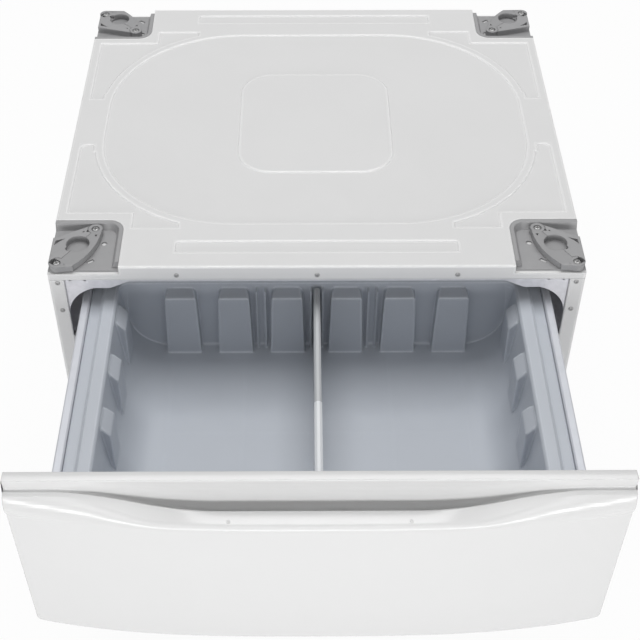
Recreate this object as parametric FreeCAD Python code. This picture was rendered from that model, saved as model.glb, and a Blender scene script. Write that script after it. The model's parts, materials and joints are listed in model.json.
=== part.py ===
import FreeCAD, Part
import math
import os
from FreeCAD import Vector

# Laundry pedestal: a low sheet-steel cabinet that carries a washer, with one storage drawer.
#
# Frame: X to the right, Y to the back, Z up. The origin is on the floor under the middle of the
# whole footprint, with the drawer pulled out. The pieces are drawn in cabinet coordinates, with
# Y = 0 on the cabinet's front face and the drawer shut. write() then pulls out what slides and
# moves everything to the origin.

# ---------------------------------------------------------------- driving dimensions, mm
cabinet_width = 686.0
cabinet_depth = 617.0
overall_height = 361.0
body_bottom = 25.0            # underside of the side panels above the floor
sheet = 1.0                   # cabinet steel
bend = 2.0                    # outer radius of the sheet's folded corners
skirt_height = 22.0           # turned-down edge of the top panel
gusset_foot = 240.0           # lower end of the corner gussets
fit_gap = 0.2                 # between sheet parts that are screwed together
flat_bend = 3.0               # corners up to this radius are one flat, to keep the facets few

front_flange = 21.5           # visible width of the side panels' front flanges
flange_return = 12.0
corner_drop = 12.0            # depth of the stepped corners of the top panel
press_depth = 1.5             # depth of the shallow pressings
field_side = 43.0             # from the panel's sides to the large rounded recess
field_end = 80.0
field_flank = 38.5            # half of the recess's straight stretch at its sides
press_shift = 5.0             # the pressings' centre behind the panel's middle
ridge_width = 10.0            # between the field and the corner pads
island_half = 107.0           # raised centre of the field
island_half_y = 118.0
island_radius = 45.0
pad_side = 12.0               # corner pads: how far their edges lie in from the panel's side
pad_step = 100.0
pad_inner = 163.0
pad_tab = 16.0                # how far a pad's tab runs past the field's corner centre
pad_edge = 167.0              # from the corner centre to the pad's outer edge
pad_far_edge = 199.0
bar_end = 160.0               # from the panel's sides to the ends of the front and rear bars
bar_width = 22.7
bar_space = 45.5              # from the recess to the middle of a bar

drawer_travel = 325.0
shut_gap = 2.0                # between the shut drawer front and the cabinet
front_bottom = 98.0
front_top_depth = 13.6
front_lip_reach = 48.5
front_foot_reach = 43.3
front_bow = 25.7              # how far the front's ends fall back in plan
front_wall = 3.0
lip_height = 46.0             # from the front's top down to the lip's front line
plate_sheet = 1.0             # back plate of the front
trough_full = 110.0           # the finger trough has its full size up to this X
trough_side = 53.0            # it ends this far from the front's ends
ledge_full = 165.0
ledge_side = 58.0
trough_drop = 23.0
trough_widen = 8.0
trough_depth = 15.0

rim_drop = 57.0               # drawer sides below the cabinet's top
tub_depth = 109.0
tub_wall = 2.5
tub_side = 45.8               # from the steel side's outer face to the tub's wall
tub_draft_x = 12.0            # lean of the tub's sides over its depth
tub_front_y = 29.0
tub_back_y = 356.0
tub_draft_y = 4.0
tub_corner = 14.0
tub_sweep = 54.0              # radius between the tub's sides and its floor
bead_width = 20.0
bead_height = 9.0
tub_ledge_drop = 6.0          # the tub's flange below the drawer sides' top

pillar_foot = 46.0
pillar_head = 40.0
pillar_reach = 16.0
pillar_pitch = 70.0
pillar_height = 98.0
side_pillar_pitch = 88.5
side_pillar_back_y = 306.0
side_pillar_height = 90.0
side_pillar_foot = 42.0
slot_rib = 1.8
slot_rib_reach = 7.0
slot_gap = 9.6
slot_offset = 73.5

side_space = 38.7             # from the cabinet's side to the drawer's steel side
side_sheet = 1.0
side_bottom = 180.0
side_flange = 10.8
side_end_y = 383.0

divider_thick = 8.6
divider_front_thick = 9.6
divider_clear = 0.4
divider_split_y = 152.0
divider_drop = 4.0            # its top below the drawer sides' top
divider_skin = 2.0
divider_heel = 6.0            # rounding of its lower ends, clear of the tub's

slide_thick = 12.7
slide_tall = 45.0
slide_sheet = 1.2
carrier_sheet = 1.2
slide_centre_z = 205.0
slide_length = 390.0
slide_start_y = 14.0
middle_tall = 34.6
inner_tall = 24.2
inner_length = 370.0
middle_web_gap = 0.8

foot_side = 38.0              # the feet's places, inwards from the cabinet's faces
foot_front_y = 50.0
foot_pad_flats = 36.0         # across the flats of a foot's pad
foot_pad_slope = 7.0
foot_pad_height = 12.0
stud_radius = 5.0
stud_clear = 0.3
stud_top = 62.0
nut_flats = 17.0
nut_height = 7.0
base_sheet = 1.5

clamp_plate = 2.0
clamp_top = 1.0               # clamp halves below the top panel
clamp_gap = 0.4
seat_radius = 15.0
ear_radius = 9.5
bolt_radius = 3.0
bolt_flats = 8.0              # across the flats of a clamp bolt's head
head_clear = 0.5              # round a bolt's head in its counterbore
pivot_clear = 0.3             # round the shanks that the arms turn on and swing off
head_height = 3.2
rim_lip = 5.0
rim_foot = 9.5
rim_radius = 20.0

screw_head = 3.3              # radius of a sheet screw's head
screw_head_height = 1.5

# Foot brackets: sizes and places measured inwards from the cabinet's outer corner.
front_bracket = {"size": (91.0, 92.5), "seat": (34.5, 47.0), "pivot": (54.0, 76.5),
                 "lock": (12.0, 10.0), "bulge": (57.0, 43.0), "heel": (33.0, 5.0),
                 "back": (1.5, 58.0), "hole": (66.5, 56.7), "slot": (52.5, 22.5)}
rear_bracket = {"size": (88.0, 85.0), "seat": (33.5, 26.0), "pivot": (62.0, 58.5),
                "lock": (10.0, 10.0), "bulge": (57.0, 25.0), "heel": (38.0, 1.5),
                "back": (1.5, 50.0), "hole": (71.0, 56.0), "slot": (68.0, 20.0)}

# ---------------------------------------------------------------- sizes that follow
half_width = cabinet_width / 2
press_centre_y = cabinet_depth / 2 + press_shift
field_half_x = half_width - field_side
field_half_y = cabinet_depth / 2 - field_end
field_radius = field_half_y - field_flank
bar_half_x = half_width - bar_end
bar_offset = field_half_y + bar_space
trough_end = half_width - trough_side
ledge_end = half_width - ledge_side
side_x = half_width - side_space
tub_top_half = side_x - tub_side
tub_floor_half = tub_top_half - tub_draft_x
foot_x = half_width - foot_side
foot_back_y = cabinet_depth - foot_front_y
skirt_bottom = overall_height - skirt_height
corner_level = overall_height - corner_drop
side_top = skirt_bottom - fit_gap
opening_half = half_width - front_flange
front_back_y = -shut_gap - plate_sheet          # the front shell's back plane
lip_y = front_back_y - front_lip_reach
rim_z = overall_height - rim_drop
floor_z = rim_z - tub_depth
tub_flange_z = rim_z - tub_ledge_drop
tub_flange_half = side_x - side_flange - side_sheet
footprint_middle = (lip_y - drawer_travel + cabinet_depth) / 2
slide_outer_x = side_x + slide_thick
bracket_z = corner_level + clamp_plate
clamp_z = overall_height - clamp_top
bolt_head = bolt_flats / math.sqrt(3)           # radius round the head's corners


# ---------------------------------------------------------------- shape helpers
def to_space(plane, u, v, level):
    """A sketch point in space. The planes are XY, XZ and YZ, each at a level on its normal."""
    if plane == "XY":
        return Vector(u, v, level)
    if plane == "XZ":
        return Vector(u, level, v)
    return Vector(level, u, v)


def rounded_edges(plane, level, points, radii):
    """Edges round a closed outline, rounded by the given radius at each corner."""
    if not isinstance(radii, (list, tuple)):
        radii = [radii] * len(points)
    flat = [Vector(u, v, 0) for u, v in points]
    corners = []
    for i, corner in enumerate(flat):
        if radii[i] <= 0:
            corners.append((corner, None, corner))
            continue
        back = (flat[i - 1] - corner).normalize()
        ahead = (flat[(i + 1) % len(flat)] - corner).normalize()
        half = back.getAngle(ahead) / 2
        reach = radii[i] / math.tan(half)
        middle = (back + ahead).normalize()
        centre = corner + middle * (radii[i] / math.sin(half))
        corners.append((corner + back * reach, centre - middle * radii[i], corner + ahead * reach))
    edges = []
    for i, (start, through, end) in enumerate(corners):
        if through is not None:
            arc = [to_space(plane, p.x, p.y, level) for p in (start, through, end)]
            flat = radii[i] <= flat_bend
            edges.append(Part.makeLine(arc[0], arc[2]) if flat else Part.Arc(*arc).toShape())
        following = corners[(i + 1) % len(corners)][0]
        if end.distanceToPoint(following) > 1e-6:
            line = [to_space(plane, p.x, p.y, level) for p in (end, following)]
            edges.append(Part.makeLine(*line))
    return edges


def outline(plane, level, points, radii=0.0):
    return Part.Wire(rounded_edges(plane, level, points, radii))


def prism(plane, start, end, points, radii=0.0):
    """A straight solid between two levels on the plane's normal."""
    face = Part.Face(outline(plane, start, points, radii))
    return face.extrude(to_space(plane, 0, 0, end - start))


def block(x0, x1, y0, y1, z0, z1):
    low = Vector(min(x0, x1), min(y0, y1), min(z0, z1))
    return Part.makeBox(abs(x1 - x0), abs(y1 - y0), abs(z1 - z0), low)


def rectangle(u0, u1, v0, v1):
    return [(u0, v0), (u1, v0), (u1, v1), (u0, v1)]


def tapered(level0, points0, radii0, level1, points1, radii1):
    """A solid with flat drafted sides between two outlines in XY."""
    wires = [outline("XY", level0, points0, radii0), outline("XY", level1, points1, radii1)]
    return Part.makeLoft(wires, True, True)


def hexagon_points(place, flats):
    """Corners of a hexagon round a place, from its size across the flats."""
    corner = flats / math.sqrt(3)
    turns = [math.radians(60 * i) for i in range(6)]
    return [(place.x + corner * math.cos(a), place.y + corner * math.sin(a)) for a in turns]


def hexagon(place, flats, low, high):
    return prism("XY", low, high, hexagon_points(place, flats))


def rod(radius, start, end):
    """A round bar from one point to another."""
    return Part.makeCylinder(radius, (end - start).Length, start, end - start)


def strip(plane, start, end, points, thickness, radius):
    """A folded sheet: a path of the sheet's left face, thickened to the right."""
    path = [Vector(u, v, 0) for u, v in points]
    left, right = [], []
    for i, point in enumerate(path):
        before = (point - path[i - 1]).normalize() if i > 0 else None
        after = (path[i + 1] - point).normalize() if i < len(path) - 1 else None
        before = before or after
        after = after or before
        normals = [Vector(d.y, -d.x, 0) for d in (before, after)]
        shift = normals[0] + normals[1]
        shift = shift * (thickness / (1 + normals[0].dot(normals[1])))
        left.append(point)
        right.append(point + shift)
    radii = []
    for i in range(len(path)):
        if i in (0, len(path) - 1):
            radii.append((0.0, 0.0))
            continue
        turn = (path[i] - path[i - 1]).cross(path[i + 1] - path[i]).z
        radii.append((radius, radius + thickness) if turn > 0 else (radius + thickness, radius))
    corners = [(p.x, p.y) for p in left] + [(p.x, p.y) for p in reversed(right)]
    rounding = [r[0] for r in radii] + [r[1] for r in reversed(radii)]
    return prism(plane, start, end, corners, rounding)


def union(shapes):
    return shapes[0].multiFuse(shapes[1:]).removeSplitter()


def mirrored(shape):
    """The same piece on the cabinet's other side."""
    return shape.mirror(Vector(0, 0, 0), Vector(1, 0, 0))


def smooth(value):
    """0 below 0, 1 above 1 and an even S between."""
    value = min(max(value, 0.0), 1.0)
    return value * value * (3 - 2 * value)


def write(node, shape, pulled=0.0):
    """Save one node, pulled out of the cabinet by the given share of the drawer's travel."""
    moved = shape.copy()
    moved.translate(Vector(0, -footprint_middle - pulled * drawer_travel, 0))
    if len(moved.Solids) == 1:
        moved = moved.Solids[0]
    if not moved.isValid():
        print("not valid:", node)
    moved.exportStep("parts/" + node + ".step")


# ---------------------------------------------------------------- cabinet panels
def round_rectangle(half_x, half_y, centre_y):
    return rectangle(-half_x, half_x, centre_y - half_y, centre_y + half_y)


def bracket_region(bracket, grow, low, high):
    """The stepped corner that a bracket sits in, at the cabinet's front left."""
    reach_x, reach_y = bracket["size"]
    points = rectangle(-half_width - 5, -half_width + reach_x + grow, -5, reach_y + grow)
    return prism("XY", low, high, points, [0, 0, rim_radius + grow, 0])


def all_corners(shape_front, shape_rear):
    """Front-left and rear-left shapes, drawn from a front corner, set at the four corners."""
    rear = shape_rear.mirror(Vector(0, cabinet_depth / 2, 0), Vector(0, 1, 0))
    return [shape_front, mirrored(shape_front), rear, mirrored(rear)]


def corner_pad(grow, low, high, rounded):
    """One shallow pad of the top panel, front left, bounded by the ridge round the field."""
    centre_x = -(field_half_x - field_radius)
    centre_y = press_centre_y - (field_half_y - field_radius)
    ridge = field_radius + ridge_width
    tab_x = centre_x - ridge
    tab_y = centre_y - pad_tab
    near_y = centre_y - pad_edge
    far_y = centre_y - pad_far_edge
    outer_x, step_x, inner_x = (reach - half_width for reach in (pad_side, pad_step, pad_inner))
    points = [(outer_x - grow, near_y - grow), (outer_x - grow, tab_y + grow),
              (tab_x + grow, tab_y + grow), (tab_x + grow, tab_y - pad_tab),
              (inner_x + grow, tab_y - pad_tab), (inner_x + grow, far_y - grow),
              (step_x - grow, far_y - grow), (step_x - grow, near_y - grow)]
    pad = prism("XY", low, high, points, [0, 10, 8, 0, 0, 0, 0, 0] if rounded else 0)
    keep_out = Part.makeCylinder(ridge - grow, high - low, Vector(centre_x, centre_y, low))
    return pad.cut(keep_out)


def pressings(grow, low, high, rounded):
    """The pressed-down areas of the top panel, grown sideways, between two heights.

    The small ones are rounded on the panel's face only, and plain below.
    """
    field = prism("XY", low, high, round_rectangle(field_half_x + grow, field_half_y + grow,
                                                    press_centre_y), field_radius + grow)
    island = prism("XY", low, high, round_rectangle(island_half - grow, island_half_y - grow,
                                                     press_centre_y), island_radius - grow)
    shapes = [field.cut(island)]
    pad = corner_pad(grow, low, high, rounded)
    rear_pad = pad.mirror(Vector(0, press_centre_y, 0), Vector(0, 1, 0))
    shapes += [pad, mirrored(pad), rear_pad, mirrored(rear_pad)]
    for side in (-1, 1):
        bar_y = press_centre_y + side * bar_offset
        shapes.append(prism("XY", low, high, round_rectangle(bar_half_x + grow,
                                                             bar_width / 2 + grow, bar_y),
                            6 if rounded else 0))
    return shapes


def sloped(shape, size, level):
    """The shape with its lower rim chamfered, so that what it cuts has sloping walls."""
    rim = [e for e in shape.Edges if abs(e.BoundBox.ZMin - level) < 1e-6
           and abs(e.BoundBox.ZMax - level) < 1e-6]
    return shape.makeChamfer(size, rim)


def make_top_panel():
    top = overall_height
    pan = prism("XY", skirt_bottom, top, rectangle(-half_width, half_width, 0, cabinet_depth), bend)
    upper = [e for e in pan.Edges if e.BoundBox.ZMin > top - 1e-6]
    pan = pan.makeFillet(bend, upper)
    steps = all_corners(bracket_region(front_bracket, 0, corner_level, top + 5),
                        bracket_region(rear_bracket, 0, corner_level, top + 5))
    pan = pan.cut(Part.makeCompound(steps))
    hollow = prism("XY", skirt_bottom - 1, top - sheet,
                   rectangle(-half_width + sheet, half_width - sheet, sheet, cabinet_depth - sheet),
                   bend - sheet)
    under = corner_level - sheet
    steps = all_corners(bracket_region(front_bracket, sheet, under, top + 5),
                        bracket_region(rear_bracket, sheet, under, top + 5))
    hollow = hollow.cut(Part.makeCompound(steps))
    below = pressings(sheet, top - sheet - press_depth, top + 5, False)
    hollow = hollow.cut(Part.makeCompound(below))
    pan = pan.cut(hollow)
    cutters = [sloped(s, press_depth, top - press_depth)
               for s in pressings(0, top - press_depth, top + 5, True)]
    return pan.cut(Part.makeCompound(cutters))


def make_side_panel():
    """Right side panel: front and rear flanges, a foot flange and a tucked-in upper edge."""
    path = [(half_width - front_flange, flange_return), (half_width - front_flange, 0),
            (half_width, 0), (half_width, cabinet_depth - sheet - fit_gap),
            (half_width - 18, cabinet_depth - sheet - fit_gap)]
    wall = strip("XY", body_bottom, side_top, path[::-1], sheet, 1.0)
    foot = block(half_width - 23, half_width - sheet / 2, 13, cabinet_depth - 13, body_bottom,
                 body_bottom + sheet)
    tuck = block(half_width - 2 * sheet - fit_gap, half_width - sheet, 13, cabinet_depth - 13,
                 side_top - 14, skirt_bottom + 8)
    notch = block(opening_half - 1, opening_half + 3, sheet, 20, gusset_foot - 2, side_top + 1)
    return union([wall, foot, tuck]).cut(notch)


def make_back_panel():
    """Flat rear sheet with three pressed ribs."""
    y = cabinet_depth - sheet
    half = half_width - sheet - fit_gap - 3
    low, high = body_bottom + 2, side_top - 0.5
    panel = block(-half, half, y, cabinet_depth, low, high)
    for i in range(3):
        z = low + (high - low) * (i + 1) / 4
        rib = prism("XZ", y - 2, cabinet_depth, rectangle(-half + 60, half - 60, z - 9, z + 9), 3)
        groove = prism("XZ", y - 1, cabinet_depth + 1,
                       rectangle(-half + 62, half - 62, z - 7, z + 7), 2)
        panel = panel.fuse(rib).cut(groove)
    return panel


def make_kick_panel():
    """White panel under the drawer, folded back along its top and bottom."""
    low, high = body_bottom + 1, front_bottom - 3
    path = [(22, low), (0, low), (0, high), (22, high)]
    half = opening_half - fit_gap
    return strip("YZ", -half, half, path, sheet, 1.0)


def make_front_rail():
    """Galvanised rail behind the top panel's front skirt, deeper at its two ends."""
    y = sheet + fit_gap
    inner, outer, end = (half_width - reach for reach in (102.0, 77.0, 51.0))
    deep, shallow = overall_height - 37, overall_height - 25.5
    under_corner = corner_level - sheet - 2 * fit_gap
    under_press = overall_height - sheet - press_depth - 2 * fit_gap
    wide = half_width - front_bracket["size"][0] - sheet - 2
    points = [(-end, under_corner), (-end, deep), (-outer, deep), (-inner, shallow),
              (inner, shallow), (outer, deep), (end, deep), (end, under_corner),
              (wide, under_corner), (wide, under_press), (-wide, under_press),
              (-wide, under_corner)]
    radii = [0, 0, 14, 14, 14, 14, 0, 0, 0, 3, 3, 0]
    web = prism("XZ", y, y + 1.2, points, radii)
    shelf = block(-inner + 16, inner - 16, y, y + 24, shallow, shallow + 1.2)
    return union([web, shelf])


def make_gusset():
    """Right corner gusset: a galvanised plate with a quarter-round opening at its inner foot."""
    y = sheet + fit_gap + 1.2 + fit_gap
    end = opening_half + 14
    arc_x, arc_z = opening_half + 1.5, overall_height - 37
    radius = 48.0
    start = (arc_x - radius, arc_z)
    stop = (arc_x, arc_z - radius)
    turn = math.radians(45)
    centre = (arc_x - radius, arc_z - radius)
    middle = (centre[0] + radius * math.cos(turn), centre[1] + radius * math.sin(turn))
    top = corner_level - sheet - 2 * fit_gap
    inner_x = half_width - 67.0
    points = [stop, (arc_x, gusset_foot), (end, gusset_foot), (end, top), (inner_x, top),
              (inner_x, arc_z), start]
    spots = [to_space("XZ", p[0], p[1], y) for p in points]
    edges = [Part.makeLine(a, b) for a, b in zip(spots, spots[1:])]
    edges.append(Part.Arc(spots[-1], to_space("XZ", middle[0], middle[1], y), spots[0]).toShape())
    return Part.Face(Part.Wire(edges)).extrude(Vector(0, 1.2, 0))


def make_base_rail():
    """Right base rail: a channel along the foot of the side panel, with the feet's two nuts."""
    low = body_bottom + sheet + fit_gap
    outer = half_width - sheet - fit_gap
    path = [(outer, low + 40), (outer, low), (foot_x - 22, low), (foot_x - 22, low + 18)]
    rail = strip("XZ", 26, cabinet_depth - 16, path, base_sheet, 1.5)
    for y in (foot_front_y, foot_back_y):
        place = Vector(foot_x, y, 0)
        nut = hexagon(place, nut_flats, low + base_sheet / 2, low + base_sheet + nut_height + 2)
        rail = rail.fuse(nut).cut(stud_bore(place))
    return rail


def make_rear_rail():
    half = foot_x - 22 - fit_gap
    low = body_bottom + sheet + fit_gap
    y = cabinet_depth - sheet - fit_gap
    path = [(y - 26, low + 14), (y - 26, low), (y - 4, low), (y - 4, low + 40)]
    return strip("YZ", -half, half, path[::-1], base_sheet, 1.5)


# ---------------------------------------------------------------- cabinet screws
def flange_screw_spots():
    z = overall_height - 14.0
    outer = half_width - 164.0
    return [Vector(x, 0, z) for x in (-outer, 0.0, outer)]


def side_screw_spots():
    x = half_width - front_flange / 2 - 0.5
    return [Vector(x, 0, z) for z in (334.0, 286.0, 70.0)]


def back_screw_spots():
    y = cabinet_depth
    half = half_width - 11
    return [Vector(side * half, y, z) for side in (-1, 1) for z in (60.0, 310.0)]


def pan_head(spot):
    """Round head of a sheet screw on a face that looks forwards. The shank is left out."""
    return rod(screw_head, spot - Vector(0, screw_head_height, 0), spot)


def hex_head(spot, height):
    """Six-sided head of a sheet screw on a face that looks backwards, without its shank."""
    corners = hexagon_points(Vector(spot.x, spot.z, 0), 2 * screw_head)
    return prism("XZ", spot.y, spot.y + height, corners)


def make_flange_screws():
    return Part.makeCompound([pan_head(s) for s in flange_screw_spots()])


def make_side_screws():
    right = [pan_head(s) for s in side_screw_spots()]
    return Part.makeCompound(right + [mirrored(s) for s in right])


def make_back_screws():
    return Part.makeCompound([hex_head(s, screw_head_height) for s in back_screw_spots()])


# ---------------------------------------------------------------- foot brackets, front left
def from_corner(spot, z=0.0):
    """A place given inwards from the cabinet's front left corner."""
    return Vector(-half_width + spot[0], spot[1], z)


def clamp_cut(bracket, offset):
    """The half plane beyond the split line, on the arm's side, as a tall block."""
    pivot, lock = from_corner(bracket["pivot"]), from_corner(bracket["lock"])
    along = (lock - pivot).normalize()
    side = Vector(-along.y, along.x, 0)          # towards the arm
    far = 200.0
    start = pivot + side * offset
    corners = [start - along * far, start + along * far, start + along * far + side * far,
               start - along * far + side * far]
    return prism("XY", corner_level - 5, overall_height + 20, [(p.x, p.y) for p in corners])


def bracket_plate(bracket):
    """Moulded plate with its raised rim on the two sides that face the panel."""
    reach_x, reach_y = bracket["size"]
    x0, x1 = -half_width + 0.5, -half_width + reach_x - fit_gap
    y0, y1 = 5.0, reach_y - fit_gap
    plate = prism("XY", corner_level, bracket_z, rectangle(x0, x1, y0, y1), [0, 0, rim_radius, 0])
    wall = prism("XY", corner_level, overall_height, rectangle(x0, x1, y0 + 6, y1),
                 [0, 0, rim_radius, 0])
    foot = rectangle(x0 - 30, x1 - rim_foot, y0 - 30, y1 - rim_foot)
    lip = rectangle(x0 - 30, x1 - rim_lip, y0 - 30, y1 - rim_lip)
    well = tapered(bracket_z, foot, [0, 0, rim_radius - rim_foot, 0],
                   overall_height + 1, lip, [0, 0, rim_radius - rim_lip, 0])
    return union([plate, wall.cut(well)])


def clamp_blank(bracket):
    """Plan of both clamp halves together, before the split, seat and ears."""
    pivot, lock = from_corner(bracket["pivot"]), from_corner(bracket["lock"])
    back, bulge, heel = (from_corner(bracket[name]) for name in ("back", "bulge", "heel"))
    z = bracket_z
    along = (pivot - back).normalize()
    across = Vector(-along.y, along.x, 0)
    shoulder = pivot + across * (ear_radius - 1.0)
    side = from_corner((1.5, bracket["lock"][1]))
    right = pivot + Vector(ear_radius - 1.0, 0, 0)
    spots = [Vector(p.x, p.y, z) for p in (side, back, shoulder, right, bulge, heel, lock)]
    side, back, shoulder, right, bulge, heel, lock = spots
    edges = [Part.makeLine(side, back), Part.makeLine(back, shoulder),
             Part.makeLine(shoulder, right), Part.Arc(right, bulge, heel).toShape(),
             Part.makeLine(heel, lock), Part.makeLine(lock, side)]
    return Part.Face(Part.Wire(edges)).extrude(Vector(0, 0, clamp_z - z))


def make_bracket(bracket):
    """Plate, rim and fixed clamp half: one moulding."""
    pivot, lock = from_corner(bracket["pivot"], bracket_z), from_corner(bracket["lock"], bracket_z)
    seat = from_corner(bracket["seat"], bracket_z)
    height = clamp_z - bracket_z
    fixed = clamp_blank(bracket).cut(clamp_cut(bracket, -clamp_gap / 2))
    fixed = fixed.cut(Part.makeCylinder(seat_radius, height + 5, seat))
    body = union([bracket_plate(bracket), fixed])
    for centre in (pivot, lock):
        body = body.cut(Part.makeCylinder(ear_radius + clamp_gap, height + 5, centre))
    hole = from_corner(bracket["hole"], corner_level - 1)
    body = body.cut(Part.makeCylinder(3.75, clamp_plate + 2, hole))
    slot_x, slot_y = from_corner(bracket["slot"])[:2]
    slot = prism("XY", corner_level - 1, bracket_z + 1,
                 rectangle(slot_x - 4.5, slot_x + 4.5, slot_y - 2.5, slot_y + 2.5))
    slot.rotate(Vector(slot_x, slot_y, 0), Vector(0, 0, 1), 35)
    return body.cut(slot)


def make_clamp_arm(bracket):
    """Swinging clamp half with a round ear on the pivot and an open ear under the lock screw."""
    pivot, lock = from_corner(bracket["pivot"]), from_corner(bracket["lock"])
    seat = from_corner(bracket["seat"])
    low = bracket_z + clamp_gap
    lift = Vector(0, 0, low)
    height = clamp_z - low
    half_plane = clamp_cut(bracket, clamp_gap / 2)
    arm = clamp_blank(bracket).common(half_plane)
    arm = arm.cut(block(-half_width - 20, 0, -20, 200, bracket_z - 1, low))
    ears = [Part.makeCylinder(ear_radius, height, centre + lift) for centre in (pivot, lock)]
    arm = union([arm] + ears)
    arm = arm.cut(Part.makeCylinder(seat_radius, height, seat + lift))
    arm = arm.cut(Part.makeCylinder(bolt_radius + pivot_clear, height, pivot + lift))
    sink = clamp_z - head_height - 0.3
    top = Vector(0, 0, sink)
    arm = arm.cut(Part.makeCylinder(bolt_head + head_clear, 10, pivot + top))
    return arm.cut(lock_way(bracket, bolt_radius + pivot_clear, low - 1, clamp_z + 1)).cut(
        lock_way(bracket, bolt_head + head_clear, sink, clamp_z + 1))


def lock_way(bracket, half_slot, low, high):
    """The arc-shaped way that lets the arm swing off its lock screw, open on one side."""
    pivot, lock = from_corner(bracket["pivot"]), from_corner(bracket["lock"])
    arm_length = (lock - pivot).Length
    start = Vector(pivot.x, pivot.y, low)
    ring = Part.makeCylinder(arm_length + half_slot, high - low, start)
    ring = ring.cut(Part.makeCylinder(arm_length - half_slot, high - low, start))
    along = (lock - pivot).normalize()
    side = Vector(-along.y, along.x, 0)
    corners = [pivot, lock + along * 30, lock + along * 30 - side * 30, pivot - side * 30]
    way = ring.common(prism("XY", low, high, [(p.x, p.y) for p in corners]))
    return way.fuse(Part.makeCylinder(half_slot, high - low, Vector(lock.x, lock.y, low)))


def clamp_bolt(centre):
    """Six-sided bolt in a counterbore, down through the clamp onto the bracket's plate."""
    head_low = clamp_z - head_height
    foot = Vector(centre.x, centre.y, bracket_z)
    shank = rod(bolt_radius, foot, Vector(centre.x, centre.y, head_low))
    return shank.fuse(hexagon(centre, bolt_flats, head_low, clamp_z))


def clamp_bolts(name):
    return Part.makeCompound(all_corners(clamp_bolt(from_corner(front_bracket[name])),
                                         clamp_bolt(from_corner(rear_bracket[name]))))


# ---------------------------------------------------------------- levelling feet
def foot_places():
    return [Vector(x, y, 0) for y in (foot_front_y, foot_back_y) for x in (-foot_x, foot_x)]


def make_foot(place):
    """Six-sided pad with a sloping top, moulded round its stud."""
    pad = hexagon(place, foot_pad_flats, 0, foot_pad_height)
    rim = [e for e in pad.Edges if e.BoundBox.ZMin > foot_pad_height - 1e-6]
    pad = pad.makeChamfer(foot_pad_slope, rim)
    stud = rod(stud_radius, place + Vector(0, 0, 1), place + Vector(0, 0, stud_top))
    return union([pad, stud])


def stud_bore(place):
    start = Vector(place.x, place.y, 0)
    return Part.makeCylinder(stud_radius + stud_clear, 99, start)


def make_lock_nuts():
    """Nuts under the base rails that lock the studs."""
    top = body_bottom + sheet + fit_gap
    nuts = [hexagon(p, nut_flats, top - nut_height, top).cut(stud_bore(p)) for p in foot_places()]
    return Part.makeCompound(nuts)


# ---------------------------------------------------------------- slides, right side
def channel(u_web, u_lip, tall, thickness, start, length):
    """A C-shaped slide member. u runs inwards from the member's mounting face."""
    half = tall / 2
    x_web, x_lip = slide_outer_x - u_web, slide_outer_x - u_lip
    z = slide_centre_z
    path = [(x_lip, z - half), (x_web, z - half), (x_web, z + half), (x_lip, z + half)]
    if u_web > u_lip:
        path = path[::-1]
    return strip("XZ", start, start + length, path[::-1], thickness, 1.0)


def make_slide_outer():
    return channel(0, slide_thick - 3.2, slide_tall, slide_sheet, slide_start_y, slide_length)


def make_slide_middle():
    u_web = slide_sheet + middle_web_gap
    return channel(u_web, slide_thick - slide_sheet - 0.8, middle_tall, slide_sheet,
                   slide_start_y + 1, slide_length - 6)


def make_slide_inner():
    return channel(slide_thick - fit_gap, slide_sheet * 2 + middle_web_gap + 0.6, inner_tall,
                   slide_sheet, slide_start_y - 4, inner_length)


def make_slide_carrier():
    """Galvanised carrier that holds a slide off the side panel, open like a hat."""
    inner = slide_outer_x + fit_gap / 2
    outer = half_width - sheet - fit_gap - carrier_sheet
    z0, z1 = slide_centre_z - 30, slide_centre_z + 30
    path = [(outer, z0 - 18), (outer, z0), (inner, z0), (inner, z1), (outer, z1), (outer, z1 + 18)]
    return strip("XZ", slide_start_y, slide_start_y + slide_length + 12, path, carrier_sheet, 1.2)


# ---------------------------------------------------------------- drawer body, shut
def make_drawer_side():
    """Right steel side: foot flange, web, raised top flange and a ledge for the tub."""
    x, t = side_x, side_sheet
    ledge_z = tub_flange_z
    path = [(x - 15, side_bottom), (x, side_bottom), (x, rim_z), (x - side_flange, rim_z),
            (x - side_flange, ledge_z), (x - side_flange - 13, ledge_z)]
    side = strip("XZ", -shut_gap + fit_gap, side_end_y, path[::-1], t, 0.8)
    tab = block(x - 22, x - t / 2, -shut_gap + fit_gap, -shut_gap + fit_gap + t, 192, 290)
    return union([side, tab])


def tub_form(grow, high):
    """The tub's inside, grown outwards: drafted walls and a wide sweep from sides to floor."""
    low = floor_z - grow
    lean_x = (tub_top_half - tub_floor_half) / tub_depth
    lean_y = tub_draft_y / tub_depth
    foot_half = tub_floor_half + grow - lean_x * grow
    head_half = tub_top_half + grow + lean_x * (high - rim_z)
    foot_in = tub_draft_y + lean_y * grow - grow
    head_in = lean_y * (rim_z - high) - grow
    front, back = tub_front_y, tub_back_y
    across = prism("XZ", front - 50, back + 50, [(-foot_half, low), (foot_half, low),
                   (head_half, high), (-head_half, high)], [tub_sweep + grow] * 2 + [0, 0])
    along = prism("YZ", -head_half - 5, head_half + 5, [(front + foot_in, low),
                  (back - foot_in, low), (back - head_in, high), (front + head_in, high)],
                  [4 + grow] * 2 + [0, 0])
    plan = prism("XY", low - 1, high + 1, rectangle(-head_half, head_half, front + head_in,
                 back - head_in), tub_corner + grow)
    return across.common(along).common(plan)


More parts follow.
